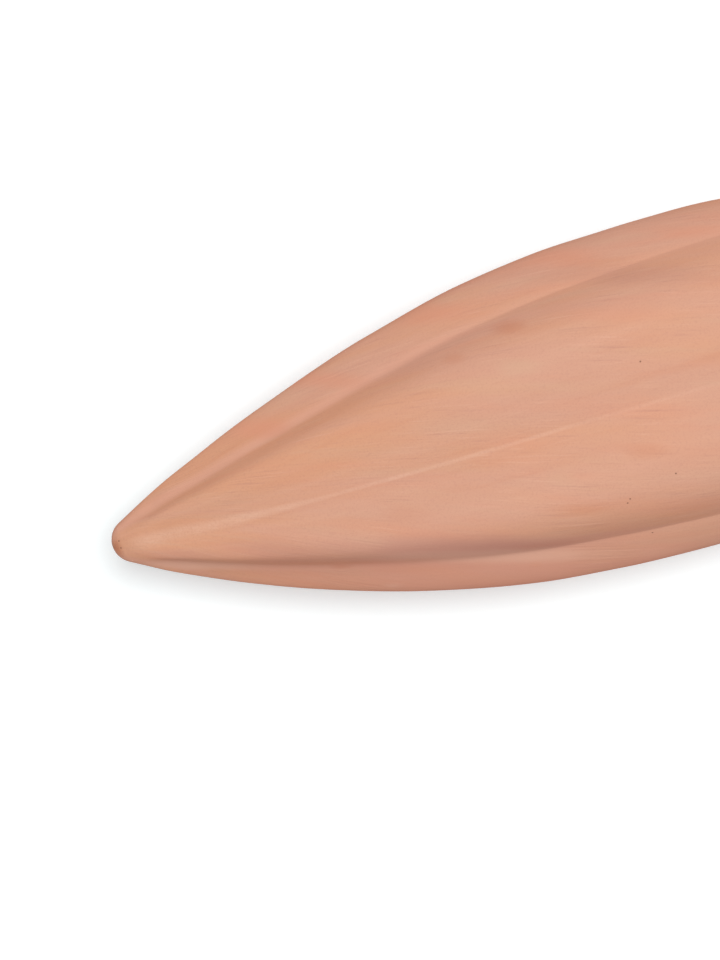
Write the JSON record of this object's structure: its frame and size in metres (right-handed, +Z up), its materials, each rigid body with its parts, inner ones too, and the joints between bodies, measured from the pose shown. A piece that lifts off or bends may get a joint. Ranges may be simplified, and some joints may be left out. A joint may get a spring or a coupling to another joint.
{
  "type": "self watering spike",
  "caption": "Hollow unglazed clay spike with lobed sides, a rounded tip and a round neck closed by a pull-out cork, which seeps stored water into potting soil.",
  "frame": {"origin": "bottom centre of the box of the whole, on the surface that the spike lies on", "axes": "+X along the pod's axis from the tip to the filler mouth, +Z up, with a crease straight up and one straight down between the two lobes that it lies on"},
  "size_m": [0.208, 0.0624, 0.0581],
  "materials": {
    "terracotta": "unglazed, fine-grained, matt, with faint lengthwise wiping marks",
    "cork": "natural cork, matt, with dark pores"
  },
  "bodies": {
    "pod": {"spike_body": "terracotta"},
    "stopper": {"cork_stopper": "cork"}
  },
  "joints": [
    {"name": "stopper_pull", "type": "slide", "parent": "pod", "child": "stopper", "axis": [1, 0, 0], "range_m": [0, 0.06]}
  ]
}
